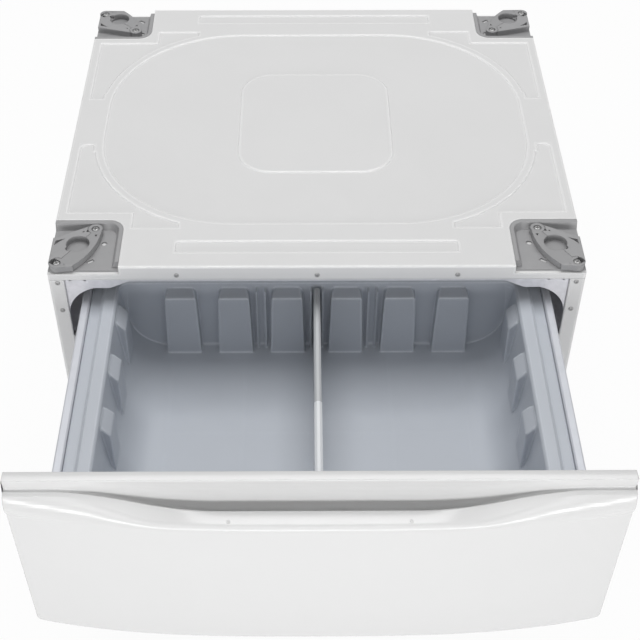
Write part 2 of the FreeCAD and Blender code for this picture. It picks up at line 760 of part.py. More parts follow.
def back_pillar(x, inset):
    """One pillar of the back wall: upright face, sloping head and drafted flanks."""
    face_y = tub_back_y - tub_draft_y - pillar_reach + inset
    head_z = floor_z + pillar_height - inset
    top_z = rim_z - tub_ledge_drop - 1.0 - inset
    wall_y = tub_back_y + tub_wall + (5 if inset else -0.5)
    low = floor_z - tub_wall / 2 + inset
    profile = [(wall_y, low), (face_y, low), (face_y + 2, head_z), (tub_back_y - 1, top_z),
               (wall_y, top_z)]
    body = prism("YZ", x - pillar_foot, x + pillar_foot, profile)
    foot, head = pillar_foot / 2 - inset, pillar_head / 2 - inset
    front = [(x - foot, low - 1), (x + foot, low - 1), (x + head, top_z + 1), (x - head, top_z + 1)]
    rounding = 0 if inset else [0, 0, 9, 9]
    return body.common(prism("XZ", face_y - 5, wall_y + 5, front, rounding))


def side_pillar(y, inset):
    """One pillar of the right side wall. It stands upright, so it grows out of the drafted wall."""
    face_x = tub_floor_half - 0.6 + inset
    head_z = floor_z + side_pillar_height - inset
    top_z = head_z + 14
    wall_x = tub_top_half + tub_wall + (5 if inset else -0.5)
    low = floor_z - tub_wall / 2 + inset
    profile = [(wall_x, low), (face_x, low), (face_x, head_z), (tub_top_half - 1, top_z),
               (wall_x, top_z)]
    body = prism("XZ", y - pillar_foot, y + pillar_foot, profile)
    foot, head = side_pillar_foot / 2 - inset, side_pillar_foot / 2 - 3 - inset
    front = [(y - foot, low - 1), (y + foot, low - 1), (y + head, top_z + 1), (y - head, top_z + 1)]
    rounding = 0 if inset else [0, 0, 8, 8]
    return body.common(prism("YZ", face_x - 5, wall_x + 5, front, rounding))


def pillars(inset):
    shapes = []
    for side in (-1, 1):
        for i in range(3):
            shapes.append(back_pillar(side * (pillar_pitch * (i + 0.5) + 4), inset))
    for i in range(3):
        right = side_pillar(side_pillar_back_y - side_pillar_pitch * i, inset)
        shapes += [right, mirrored(right)]
    return shapes


def slot_ribs(x, gap, reach, y_wall, towards):
    """Two upright ribs on a wall, which hold a divider's edge between them."""
    ribs = []
    for side in (-1, 1):
        centre = x + side * (gap + slot_rib) / 2
        ribs.append(block(centre - slot_rib / 2, centre + slot_rib / 2, y_wall - towards * 6,
                          y_wall + towards * reach, floor_z - 1, tub_flange_z))
    return ribs


def make_tub():
    rim_top = tub_flange_z + tub_wall
    shell = tub_form(tub_wall, rim_top)
    back = tub_back_y + bead_width + 6
    flange = prism("XY", tub_flange_z, rim_top,
                   rectangle(-tub_flange_half, tub_flange_half, 3, back), 6)
    bead_out = rectangle(-tub_top_half - bead_width, tub_top_half + bead_width,
                         tub_front_y - bead_width, tub_back_y + bead_width)
    bead = prism("XY", tub_flange_z, tub_flange_z + bead_height, bead_out, tub_corner + bead_width)
    ridge = [e for e in bead.Edges if e.BoundBox.ZMin > tub_flange_z + bead_height - 1e-6]
    bead = bead.makeChamfer(4.0, ridge)
    tub = union([shell, flange, bead] + floor_ribs())
    tub = tub.cut(bead_hollow()).cut(tub_form(0, tub_flange_z + bead_height + 1)).cut(tub_mouth())
    wall_y = tub_back_y - tub_draft_y
    inner = pillars(0) + slot_ribs(0, divider_thick + 2 * divider_clear + 4, slot_rib_reach,
                                   wall_y, -1)
    inner += slot_ribs(0, divider_front_thick + 2 * divider_clear + 4, slot_rib_reach,
                       tub_front_y + tub_draft_y, 1)
    for side in (-1, 1):
        inner += slot_ribs(side * slot_offset, slot_gap, slot_rib_reach, wall_y, -1)
    inner = Part.makeCompound(inner).common(tub_form(tub_wall, rim_top))
    tub = union([tub] + inner.Solids)
    return tub.cut(Part.makeCompound(pillars(tub_wall)))


def tub_mouth():
    """Chamfer of the rim's inner edge."""
    top = tub_flange_z + bead_height
    size = bead_height / 3
    spread = [rectangle(-tub_top_half - grow, tub_top_half + grow, tub_front_y - grow,
                        tub_back_y + grow) for grow in (0, size + 1)]
    return tapered(top - size, spread[0], tub_corner, top + 1, spread[1], tub_corner + size + 1)


def bead_hollow():
    """Underside of the rim's bead, so that the moulding keeps its wall thickness."""
    inset = tub_wall
    outer = rectangle(-tub_top_half - bead_width + inset, tub_top_half + bead_width - inset,
                      tub_front_y - bead_width + inset, tub_back_y + bead_width - inset)
    hollow = prism("XY", tub_flange_z - 1, tub_flange_z + bead_height - inset, outer,
                   tub_corner + bead_width - inset)
    return hollow.cut(tub_form(tub_wall, tub_flange_z + bead_height + 1))


def floor_ribs():
    """Stiffening ribs under the tub's floor."""
    low, high = floor_z - tub_wall - 6, floor_z - tub_wall / 2
    front, back = tub_front_y + 30, tub_back_y - 30
    half = tub_floor_half - tub_sweep
    ribs = [block(x - 1, x + 1, front, back, low, high)
            for x in (-half, -half / 2, 0, half / 2, half)]
    ribs += [block(-half, half, y - 1, y + 1, low, high)
             for y in (front, (front + back) / 2, back)]
    return ribs


def make_divider_rear():
    """Rear part of the divider: a hollow blade, open below, with a tongue at its front."""
    low, high = floor_z + divider_clear, rim_z - divider_drop
    half = divider_thick / 2
    back = tub_back_y - tub_draft_y - 1.0
    blade = prism("XZ", divider_split_y, back, rectangle(-half, half, low, high), [0, 0, 2.5, 2.5])
    blade = blade.common(prism("YZ", -half, half, rectangle(divider_split_y, back, low, high),
                               [0, divider_heel, 0, 0]))
    hollow = block(-half + divider_skin, half - divider_skin, divider_split_y + divider_skin,
                   back - divider_skin, low - 1, high - divider_skin)
    tongue = block(-half + divider_skin + 0.6, half - divider_skin - 0.6, divider_split_y - 14,
                   divider_split_y + 1, low + 10, high - 10)
    return union([blade.cut(hollow), tongue])


def make_divider_front():
    """Front part: a slightly thicker blade whose rear end takes the tongue."""
    low, high = floor_z + divider_clear, rim_z - divider_drop + 0.8
    half = divider_front_thick / 2
    front = tub_front_y + tub_draft_y + 1.0
    rear = divider_split_y - fit_gap
    blade = prism("XZ", front, rear, rectangle(-half, half, low, high), [0, 0, 3, 3])
    blade = blade.common(prism("YZ", -half, half, rectangle(front, rear, low, high),
                               [divider_heel, 0, 0, 0]))
    hollow = block(-half + divider_skin, half - divider_skin, front + divider_skin,
                   rear + 1, low - 1, high - divider_skin)
    return blade.cut(hollow)


def make_cross_rail():
    """Steel rail that joins the drawer sides behind the tub."""
    half = side_x - side_sheet - fit_gap
    y = side_end_y - 1
    path = [(y, 222), (y, 186), (y - 20, 186), (y - 20, 196)]
    return strip("YZ", -half, half, path, side_sheet, 0.8)


# ---------------------------------------------------------------- drawer front, shut
def front_section(x):
    """Named corners of the front's section at x, as (Y, Z)."""
    top, back = overall_height, front_back_y
    trough = smooth((trough_end - abs(x)) / (trough_end - trough_full))
    ledge = smooth((ledge_end - abs(x)) / (ledge_end - ledge_full))
    bow = front_bow * (abs(x) / half_width) ** 3
    brow_y = back - front_top_depth
    hook = (brow_y - 3.4 - trough_widen * trough, top - 14 - trough_drop * trough)
    lip = (back - front_lip_reach + bow, top - lip_height)
    near = hook[0] - 5
    ledge_y = near + (lip[0] + 6.5 - near) * ledge
    floor = hook[1] - 4 - trough_depth * trough
    under = hook[0] - 1.5 * trough
    wall_y = brow_y + 0.4
    radius = (wall_y - under) / 2
    return {"back_top": (back, top), "brow": (brow_y, top),
            "wall_mid": (brow_y + 0.4 + 4.5 * trough, (top + floor) / 2 + 2),
            "wall_low": (wall_y, floor + radius), "trough": ((wall_y + under) / 2, floor),
            "under": (under, floor + radius), "hook": hook,
            "ledge": (ledge_y, top - 16 - 23.5 * ledge),
            "lip": lip, "foot": (back - front_foot_reach + bow, front_bottom),
            "back_foot": (back, front_bottom)}


def flats(start, middle, end, count):
    """Points of a parabola from start to end through the middle point, for short flats."""
    pull = middle * 2 - (start + end) * 0.5
    spots = []
    for i in range(count + 1):
        t = i / count
        spots.append(start * (1 - t) ** 2 + pull * (2 * t * (1 - t)) + end * t ** 2)
    return spots


def front_wire(x):
    s = {name: to_space("YZ", p[0], p[1], x) for name, p in front_section(x).items()}
    ledge_lip = (s["ledge"] + s["lip"]) * 0.5
    outward = (s["lip"] - s["ledge"]).cross(Vector(1, 0, 0)).normalize()
    shoulder = ledge_lip + outward * (0.16 * s["lip"].distanceToPoint(s["ledge"]))
    dip = [s["wall_low"] * 0.3 + s["trough"] * 0.7, s["under"] * 0.3 + s["trough"] * 0.7]
    for point in dip:
        point.z = s["trough"].z
    path = [s["back_top"]] + flats(s["brow"], s["wall_mid"], s["wall_low"], 2) + dip
    path += [s["under"], s["hook"]] + flats(s["ledge"], shoulder, s["lip"], 4)
    path += [s["foot"], s["back_foot"]]
    return Part.makePolygon(path + path[:1])


def cavity_wire(x):
    """Section of the hollow behind the front's skin."""
    s = front_section(x)
    w = front_wall
    lip_inner = s["lip"][0] + w
    ledge_inner = max(s["ledge"][0] + 2, lip_inner + 1)
    hook_inner = max(s["under"][0] - w, ledge_inner + 0.5)
    wall_inner = s["wall_mid"][0] + w
    floor = s["trough"][1] - w
    open_y = front_back_y + 1
    points = [(open_y, front_bottom + w), (s["foot"][0] + w, front_bottom + w),
              (lip_inner, s["lip"][1] - 1), (ledge_inner, s["ledge"][1] - w - 2.5),
              (hook_inner, s["hook"][1] - w - 0.5), (hook_inner, floor), (wall_inner, floor),
              (wall_inner, overall_height - w), (open_y, overall_height - w)]
    return outline("YZ", x, points)


def front_stations(end, inside):
    """X places of the sections, from one end to the other, with a few less for the cavity."""
    fade = trough_end - trough_full
    right = [trough_full + fade * i / 4 for i in range(5)]
    if not inside:
        right = [0, trough_full / 2] + right + [(trough_end + end) / 2]
    right.append(end)
    return [-x for x in reversed(right) if x > 0] + right


def make_front_shell():
    outer = Part.makeLoft([front_wire(x) for x in front_stations(half_width, False)], True, False)
    face = rectangle(-half_width, half_width, front_bottom, overall_height)
    drawn_in = [(-half_width + 2.0, front_bottom), (half_width - 2.0, front_bottom), face[2], face[3]]
    frame = prism("XZ", lip_y - 10, front_back_y + 10, drawn_in, [7, 7, 1.5, 1.5])
    outer = outer.common(frame)
    sections = [cavity_wire(x) for x in front_stations(half_width - 9, True)]
    cavity = Part.makeLoft(sections, True, True)
    ribs = [block(x - 1.2, x + 1.2, lip_y - 5, front_back_y + 2, 0, 400)
            for x in (-220, -110, 0, 110, 220)]
    posts = [block(x - 5, x + 5, lip_y - 5, front_back_y + 2, z - 5, z + 5)
             for x, z in plate_screw_places()]
    return outer.cut(cavity.cut(Part.makeCompound(ribs + posts)))


def plate_screw_places():
    x = half_width - 75.0
    return [(side * x, z) for side in (-1, 1) for z in (130.0, 285.0)]


def make_back_plate():
    """Galvanised plate that closes the front's back."""
    return prism("XZ", front_back_y, front_back_y + plate_sheet,
                 rectangle(-half_width + 10, half_width - 10, front_bottom + 4,
                           overall_height - 6), 3)


def make_front_screws():
    """Low six-sided heads on the back plate, over the front's posts."""
    y = front_back_y + plate_sheet
    return Part.makeCompound([hex_head(Vector(x, y, z), 1.0) for x, z in plate_screw_places()])


def make_bumpers():
    """Rubber stops on the back plate, which meet the cabinet's front flanges."""
    inner, outer = opening_half + 2, opening_half + 16
    return Part.makeCompound([block(side * inner, side * outer, -shut_gap, -0.3, z - 5, z + 5)
                              for side in (-1, 1) for z in (118.0, 250.0)])


# ---------------------------------------------------------------- all pieces
def main():
    os.makedirs("parts", exist_ok=True)
    write("top_panel", make_top_panel())
    side = make_side_panel()
    write("side_panel_right", side)
    write("side_panel_left", mirrored(side))
    write("back_panel", make_back_panel())
    write("kick_panel", make_kick_panel())
    write("front_top_rail", make_front_rail())
    for name, shape in (("corner_gusset", make_gusset()), ("base_rail", make_base_rail()),
                        ("slide_carrier", make_slide_carrier()), ("slide_outer", make_slide_outer())):
        write(name + "_right", shape)
        write(name + "_left", mirrored(shape))
    write("rear_base_rail", make_rear_rail())
    write("top_flange_screws", make_flange_screws())
    write("side_flange_screws", make_side_screws())
    write("back_panel_screws", make_back_screws())

    places = ("front_left", "front_right", "rear_left", "rear_right")
    brackets = all_corners(make_bracket(front_bracket), make_bracket(rear_bracket))
    arms = all_corners(make_clamp_arm(front_bracket), make_clamp_arm(rear_bracket))
    feet = [make_foot(place) for place in foot_places()]
    for place, bracket, arm, foot in zip(places, brackets, arms, feet):
        write("foot_bracket_" + place, bracket)
        write("clamp_arm_" + place, arm)
        write("levelling_foot_" + place, foot)
    write("clamp_pivot_bolts", clamp_bolts("pivot"))
    write("clamp_lock_screws", clamp_bolts("lock"))
    write("foot_lock_nuts", make_lock_nuts())

    middle = make_slide_middle()
    write("slide_middle_right", middle, 0.5)
    write("slide_middle_left", mirrored(middle), 0.5)
    for name, shape in (("slide_inner", make_slide_inner()), ("drawer_side", make_drawer_side())):
        write(name + "_right", shape, 1.0)
        write(name + "_left", mirrored(shape), 1.0)
    write("drawer_tub", make_tub(), 1.0)
    write("drawer_cross_rail", make_cross_rail(), 1.0)
    write("divider_rear", make_divider_rear(), 1.0)
    write("divider_front", make_divider_front(), 1.0)
    write("drawer_front_shell", make_front_shell(), 1.0)
    write("drawer_front_plate", make_back_plate(), 1.0)
    write("front_plate_screws", make_front_screws(), 1.0)
    write("drawer_bumpers", make_bumpers(), 1.0)


main()
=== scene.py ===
import json
import math

import bmesh
import bpy
from mathutils import Matrix, Vector


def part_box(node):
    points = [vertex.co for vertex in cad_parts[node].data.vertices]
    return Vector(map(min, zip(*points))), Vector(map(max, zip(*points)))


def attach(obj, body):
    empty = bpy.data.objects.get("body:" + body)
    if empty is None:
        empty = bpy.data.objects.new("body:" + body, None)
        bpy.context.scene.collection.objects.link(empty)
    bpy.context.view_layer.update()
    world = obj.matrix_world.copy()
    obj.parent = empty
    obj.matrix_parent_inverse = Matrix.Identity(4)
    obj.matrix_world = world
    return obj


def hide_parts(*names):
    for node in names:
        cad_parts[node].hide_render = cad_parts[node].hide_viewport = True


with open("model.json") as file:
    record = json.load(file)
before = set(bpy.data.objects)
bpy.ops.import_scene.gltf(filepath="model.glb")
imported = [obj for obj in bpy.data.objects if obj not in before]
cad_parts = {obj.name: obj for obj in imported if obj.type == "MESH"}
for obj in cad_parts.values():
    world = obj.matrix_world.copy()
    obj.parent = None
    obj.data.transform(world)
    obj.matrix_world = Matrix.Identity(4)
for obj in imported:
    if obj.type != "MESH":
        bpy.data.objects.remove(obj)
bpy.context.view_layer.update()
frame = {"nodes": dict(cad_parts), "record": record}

# Sizes in metres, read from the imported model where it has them.
CABINET_LOW, CABINET_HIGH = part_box("top_panel")
FRONT_LOW, FRONT_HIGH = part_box("drawer_front_shell")
HALF_WIDTH = CABINET_HIGH.x
MM = 0.001

# The drawer front's section, in millimetres. Heights are below the top edge and depths in front
# of the back face, unless the comment says otherwise.
TOP_DEPTH = 13.6              # of the flat top edge
WALL_DEPTH = 13.2             # of the finger trough's rear wall
HOOK_DEPTH, HOOK_FORWARD = 17.0, 8.0      # of the trough's front edge at the ends, and added in the middle
HOOK_DROP, HOOK_FALL = 14.0, 23.0         # its height at the ends, and added in the middle
TROUGH_DEPTH = 19.0           # of the trough's bottom below its front edge, in the middle
TROUGH_WIDENING = 1.5         # of the trough under its front edge
WALL_HOLLOW = 4.5             # how far the rear wall curves back
WALL_RISE = 2.0               # of that curve's middle above mid height
LIP_DEPTH, LIP_DROP = 48.5, 46.0          # of the foremost line, in the middle
LEDGE_LEAD = 5.0              # of the ledge's end before the hook, at the ends
LEDGE_SETBACK = 6.5           # of the ledge's end behind the lip, in the middle
LEDGE_DROP, LEDGE_FALL = 16.0, 23.5       # as for the hook
SHOULDER = 0.16               # crown of the curve from the ledge to the lip, as a share of its length
BOW = 25.7                    # how far the lip falls back at the ends
FACE_LEAN = 5.2               # how far the face falls back from the lip to its foot
FOOT_ROUND = 7.0              # radius of the face's lower corners, seen from the front
TROUGH_END, TROUGH_FULL = 53.0, 110.0     # it ends this far from the side, and is full to this far out
LEDGE_END, LEDGE_FULL = 58.0, 165.0       # as for the trough
END_ROUND = 1.2               # radius round the front's two ends
SIDE_DRAFT = 2.0              # how far each end draws in from the top to the foot


# ---------------------------------------------------------------- materials
def srgb(value):
    """Linear value of a display value from 0 to 1."""
    return ((value + 0.055) / 1.055) ** 2.4 if value > 0.04045 else value / 12.92


def colour(r, g=None, b=None):
    """A shader's colour from display values from 0 to 1: one for a grey, or three."""
    g = r if g is None else g
    b = r if b is None else b
    return (srgb(r), srgb(g), srgb(b), 1.0)


class Finish:
    """A procedural material: mottled colour, grain in the roughness, and softened edges."""

    def __init__(self, name, tint, rough, metallic=0.0, coat=0.0):
        self.material = bpy.data.materials.new(name)
        self.material.use_nodes = True
        self.tree = self.material.node_tree
        self.shader = self.tree.nodes["Principled BSDF"]
        self.tint = tint
        self.set("Roughness", rough)
        self.set("Metallic", metallic)
        self.set("Coat Weight", coat)
        self.set("Coat Roughness", 0.08)
        self.set("IOR", 1.5)
        self.coordinates = self.node("ShaderNodeTexCoord").outputs["Object"]

    def node(self, kind, **inputs):
        made = self.tree.nodes.new(kind)
        for name, value in inputs.items():
            made.inputs[name].default_value = value
        return made

    def link(self, source, target):
        self.tree.links.new(source, target)

    def set(self, name, value):
        self.shader.inputs[name].default_value = value

    def noise(self, scale, detail, stretch=None):
        texture = self.node("ShaderNodeTexNoise", Scale=scale, Detail=detail)
        source = self.coordinates
        if stretch:
            mapping = self.node("ShaderNodeMapping")
            mapping.inputs["Scale"].default_value = stretch
            self.link(source, mapping.inputs["Vector"])
            source = mapping.outputs["Vector"]
        self.link(source, texture.inputs["Vector"])
        return texture.outputs["Fac"]

    def map_range(self, source, start, full, low, high):
        """Maps start to full onto low to high."""
        ramp = self.node("ShaderNodeMapRange")
        for name, value in (("From Min", start), ("From Max", full), ("To Min", low), ("To Max", high)):
            ramp.inputs[name].default_value = value
        self.link(source, ramp.inputs["Value"])
        return ramp

    def spread(self, source, low, high):
        """Maps the middle of a noise onto low to high, with no edge where it levels out."""
        ramp = self.map_range(source, 0.3, 0.7, low, high)
        ramp.interpolation_type = "SMOOTHSTEP"
        return ramp.outputs["Result"]

    def mix(self, share, low, high):
        """A colour mix by a share from 0 to 1, as the shader's base colour. Low may be a socket."""
        blend = self.node("ShaderNodeMix")
        blend.data_type = "RGBA"
        blend.inputs[7].default_value = high
        if isinstance(low, bpy.types.NodeSocket):
            self.link(low, blend.inputs[6])
        else:
            blend.inputs[6].default_value = low
        self.link(share, blend.inputs[0])
        self.base = blend.outputs[2]
        self.link(self.base, self.shader.inputs["Base Color"])

    def mottle(self, scale, amount):
        """Lets the colour drift a little either way."""
        low = [c * (1 - amount) for c in self.tint[:3]] + [1.0]
        high = [min(1.0, c * (1 + amount)) for c in self.tint[:3]] + [1.0]
        self.mix(self.spread(self.noise(scale, 4.0), 0.0, 1.0), low, high)
        return self

    def painted_edge_highlight(self, tint, start=0.985, full=0.93):
        """Paints a highlight on the rims of folds and pressings, where the softened normal leans most: a
        lighter colour that stands in for the light those rounded rims catch.
        """
        face = self.node("ShaderNodeNewGeometry")
        lean = self.node("ShaderNodeVectorMath")
        lean.operation = "DOT_PRODUCT"
        self.link(self.softened, lean.inputs[0])
        self.link(face.outputs["Normal"], lean.inputs[1])
        share = self.map_range(lean.outputs["Value"], start, full, 0.0, 1.0)
        # Painted highlight: the rims take the lighter colour over the base colour.
        self.mix(share.outputs["Result"], self.base, tint)
        return self

    def grain(self, scale, low, high, stretch=None):
        """Lets the roughness vary."""
        self.link(self.spread(self.noise(scale, 2.0, stretch), low, high),
                  self.shader.inputs["Roughness"])
        return self

    def soften(self, radius):
        """Rounds the shading of hard edges."""
        bevel = self.node("ShaderNodeBevel", Radius=radius)
        bevel.samples = 6
        self.softened = self.normal = bevel.outputs["Normal"]
        self.link(self.normal, self.shader.inputs["Normal"])
        return self

    def bump(self, scale, height):
        """Fine relief over the softened normal, with its height in metres."""
        relief = self.node("ShaderNodeBump", Strength=1.0, Distance=height)
        self.link(self.noise(scale, 2.0), relief.inputs["Height"])
        self.link(self.normal, relief.inputs["Normal"])
        self.normal = relief.outputs["Normal"]
        self.link(self.normal, self.shader.inputs["Normal"])
        return self


def make_materials():
    """One finish per material slot of the record."""
    enamel = Finish("enamel", colour(0.86), 0.34, coat=0.3).soften(0.0035)
    # Painted highlight: the enamel's fold and pressing rims are lightened to nearly white, standing in for
    # the bright lines light draws there.
    enamel.mottle(9.0, 0.008).painted_edge_highlight(colour(0.985))
    enamel.grain(60.0, 0.30, 0.38).bump(900.0, 0.00001)
    zinc = Finish("zinc_sheet", colour(0.86, 0.86, 0.88), 0.38, metallic=0.35).soften(0.0008)
    zinc.mottle(110.0, 0.05).grain(80.0, 0.32, 0.46).bump(500.0, 0.00001)
    drawer = Finish("zinc_drawer_side", colour(0.79, 0.80, 0.825), 0.42, metallic=0.15).soften(0.0008)
    drawer.mottle(45.0, 0.02).grain(80.0, 0.30, 0.42).bump(500.0, 0.00001)
    runner = Finish("plated_steel", colour(0.72, 0.73, 0.75), 0.30, metallic=0.9).soften(0.0006)
    runner.mottle(60.0, 0.03).grain(30.0, 0.28, 0.38, (1.0, 0.03, 1.0)).bump(300.0, 0.00001)
    screw = Finish("screw_steel", colour(0.66), 0.40, metallic=0.4).soften(0.0003)
    screw.mottle(300.0, 0.05).grain(300.0, 0.28, 0.42)
    tub = Finish("tub_moulding", colour(0.735, 0.755, 0.785), 0.36).soften(0.005)
    # Painted highlight: the tub's convex and concave edges are lightened, standing in for the sheen its
    # rounded edges catch.
    tub.mottle(7.0, 0.01).painted_edge_highlight(colour(0.93, 0.95, 0.98), 0.97, 0.80)
    tub.grain(50.0, 0.30, 0.38).bump(1400.0, 0.00002)
    rear = Finish("divider_rear_moulding", colour(0.77, 0.78, 0.79), 0.42).soften(0.0012)
    rear.mottle(20.0, 0.015).grain(80.0, 0.38, 0.48).bump(1200.0, 0.00001)
    front = Finish("divider_front_moulding", colour(0.91, 0.92, 0.93), 0.40).soften(0.0012)
    front.mottle(20.0, 0.015).grain(80.0, 0.36, 0.46).bump(1200.0, 0.00001)
    front.set("Subsurface Weight", 0.1)
    front.set("Subsurface Radius", (0.004, 0.004, 0.004))
    gloss = Finish("gloss_moulding", colour(0.855), 0.24, coat=0.3).soften(0.0015)
    gloss.mottle(5.0, 0.004).grain(20.0, 0.22, 0.26).bump(40.0, 0.00002)
    gloss.set("Coat Roughness", 0.18)
    grey = Finish("bracket_moulding", colour(0.60, 0.60, 0.605), 0.42).soften(0.002)
    grey.mottle(60.0, 0.02).grain(120.0, 0.36, 0.50).bump(1600.0, 0.00002)
    arm = Finish("arm_moulding", colour(0.58, 0.58, 0.585), 0.42).soften(0.002)
    arm.mottle(60.0, 0.02).grain(120.0, 0.36, 0.50).bump(1600.0, 0.00002)
    black = Finish("foot_moulding", colour(0.20), 0.50).soften(0.0008)
    black.mottle(80.0, 0.05).grain(100.0, 0.45, 0.60).bump(1400.0, 0.00003)
    rubber = Finish("black_rubber", colour(0.34), 0.70).soften(0.0008)
    rubber.mottle(120.0, 0.06).grain(150.0, 0.62, 0.80).bump(1400.0, 0.00004)
    made = {"white_panel": enamel, "galvanised": zinc, "slide_steel": runner,
            "drawer_steel": drawer, "screws": screw, "tub_plastic": tub, "divider_grey": rear,
            "divider_light": front, "front_gloss": gloss, "bracket_grey": grey, "arm_grey": arm,
            "foot_black": black, "bumper_rubber": rubber}
    return {slot: finish.material for slot, finish in made.items()}


def dress_frame(materials):
    """Every CAD node gets the finish of its slot."""
    for part in frame["record"]["subparts"]:
        node = frame["nodes"][part["node"]]
        node.data.materials.clear()
        node.data.materials.append(materials[part["material_slot"]])


# ---------------------------------------------------------------- mesh helpers
def mesh_object(name, bm, material, smooth_angle=40):
    """Puts a finished bmesh into the scene, smooth apart from its sharp edges."""
    bmesh.ops.recalc_face_normals(bm, faces=bm.faces)
    mesh = bpy.data.meshes.new(name)
    bm.to_mesh(mesh)
    bm.free()
    for face in mesh.polygons:
        face.use_smooth = True
    mesh.set_sharp_from_angle(angle=math.radians(smooth_angle))
    if material:
        mesh.materials.append(material)
    made = bpy.data.objects.new(name, mesh)
    bpy.context.scene.collection.objects.link(made)
    return made


def stand_in(piece, node):
    """Shows a piece in place of a CAD node. It moves with the node's body."""
    for body, nodes in frame["record"]["behaviour"]["bodies"].items():
        if node in nodes:
            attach(piece, body)
    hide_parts(node)


def circle(radius, count):
    """Points round the origin, as pairs of x and y."""
    turns = [2 * math.pi * i / count for i in range(count)]
    return [(radius * math.cos(a), radius * math.sin(a)) for a in turns]


def skin(bm, rings):
    """Faces between rings of vertices of equal length, with the two end rings capped."""
    rows = [[bm.verts.new(p) for p in ring] for ring in rings]
    for low, high in zip(rows, rows[1:]):
        for i in range(len(low)):
            j = (i + 1) % len(low)
            bm.faces.new((low[i], low[j], high[j], high[i]))
    bm.faces.new(rows[0][::-1])
    bm.faces.new(rows[-1])


def rounded_path(points, radii, steps):
    """A closed outline with an arc of steps + 1 points at each corner. The points are Vectors."""
    path = []
    for i, corner in enumerate(points):
        back = points[i - 1] - corner
        ahead = points[(i + 1) % len(points)] - corner
        turn = back.angle(ahead, math.pi)
        room = 0.45 * min(back.length, ahead.length)
        reach = min(radii[i] / max(math.tan(turn / 2), 1e-6), room)
        start, end = corner + back.normalized() * reach, corner + ahead.normalized() * reach
        for k in range(steps + 1):
            t = k / steps
            path.append(start * (1 - t) ** 2 + corner * (2 * t * (1 - t)) + end * t ** 2)
    return path


def inset(path, distance):
    """The outline moved inwards. It runs anticlockwise."""
    moved = []
    for i, point in enumerate(path):
        along = (path[(i + 1) % len(path)] - path[i - 1]).normalized()
        moved.append(point + Vector((-along.y, along.x)) * distance)
    return moved


# ---------------------------------------------------------------- drawer front
def smooth_step(value):
    """0 below 0, 1 above 1 and an even S between."""
    value = min(max(value, 0.0), 1.0)
    return value * value * (3 - 2 * value)


def parabola(start, middle, end, count):
    """Points from start to end through the middle one."""
    pull = middle * 2 - (start + end) / 2
    steps = [i / count for i in range(count + 1)]
    return [start * (1 - t) ** 2 + pull * (2 * t * (1 - t)) + end * t ** 2 for t in steps]


def front_outline(x):
    """Section of the drawer front at x in millimetres, as Vectors (forwards, up) in millimetres."""
    half, top, low = HALF_WIDTH / MM, FRONT_HIGH.z / MM, FRONT_LOW.z / MM
    trough = smooth_step((half - TROUGH_END - abs(x)) / (half - TROUGH_END - TROUGH_FULL))
    ledge = smooth_step((half - LEDGE_END - abs(x)) / (half - LEDGE_END - LEDGE_FULL))
    corner = min(max(0.0, abs(x) - (half - FOOT_ROUND)), FOOT_ROUND)
    bottom = low + FOOT_ROUND - math.sqrt(FOOT_ROUND ** 2 - corner ** 2)
    hook = Vector((HOOK_DEPTH + HOOK_FORWARD * trough, top - HOOK_DROP - HOOK_FALL * trough))
    lip = Vector((LIP_DEPTH - BOW * (abs(x) / half) ** 3, top - LIP_DROP))
    near = hook.x + LEDGE_LEAD
    ledge_end = Vector((near + (lip.x - LEDGE_SETBACK - near) * ledge,
                        top - LEDGE_DROP - LEDGE_FALL * ledge))
    depth = TROUGH_DEPTH * trough
    floor = hook.y - depth
    under = hook.x + TROUGH_WIDENING * trough
    radius = (under - WALL_DEPTH) / 2
    wall_mid = Vector((WALL_DEPTH - WALL_HOLLOW * trough, (top + floor) / 2 + WALL_RISE))
    wall_low = Vector((WALL_DEPTH, floor + radius))
    bowl = []
    for i in range(9):
        turn = math.pi * i / 8
        rise = radius if i < 5 else min(radius, depth)
        bowl.append(Vector(((WALL_DEPTH + under) / 2 - radius * math.cos(turn),
                            floor + rise * (1 - math.sin(turn)))))
    outward = Vector((lip.y - ledge_end.y, ledge_end.x - lip.x)).normalized() * -1
    shoulder = (ledge_end + lip) / 2 + outward * (SHOULDER * (lip - ledge_end).length)
    lean = FACE_LEAN / (top - LIP_DROP - low)
    foot = Vector((lip.x - lean * (lip.y - bottom), bottom))
    path = [Vector((0, bottom)), foot]
    path += parabola(lip, shoulder, ledge_end, 8)
    path += [hook] + bowl[::-1] + parabola(wall_low, wall_mid, Vector((TOP_DEPTH, top)), 6)[1:]
    path += [Vector((0, top))]
    # A radius for each corner: foot, lip, ledge, hook, bowl, rear wall and top edge.
    radii = [1.3, 2.0, 2.5] + [6.0] * 7 + [3.0, 1.6] + [1.0] * 9 + [2.0] * 5 + [1.6, 1.3]
    return rounded_path(path, radii, 3)


def make_front(material):
    """The drawer front as one smooth moulding with its finger trough and rounded ends."""
    half = HALF_WIDTH / MM
    reach = half - END_ROUND
    count = 96
    stations = [(reach * math.sin(math.pi / 2 * (2 * i / count - 1)), 0.0) for i in range(count + 1)]
    turns = [math.radians(a) for a in (30, 60, 90)]
    ends = [(reach + END_ROUND * math.sin(a), END_ROUND * (1 - math.cos(a))) for a in turns]
    stations = [(-x, shrink) for x, shrink in reversed(ends)] + stations + ends
    back, top = FRONT_HIGH.y, FRONT_HIGH.z
    rings = []
    for x, shrink in stations:
        path = front_outline(x)
        if shrink:
            path = inset(path, shrink)
        ring = []
        for point in path:
            height = point.y * MM
            draft = 1 - (SIDE_DRAFT / half) * (top - height) / (top - FRONT_LOW.z)
            ring.append((x * MM * draft, back - point.x * MM, height))
        rings.append(ring)
    bm = bmesh.new()
    skin(bm, rings)
    stand_in(mesh_object("front_moulding", bm, material, 50), "drawer_front_shell")


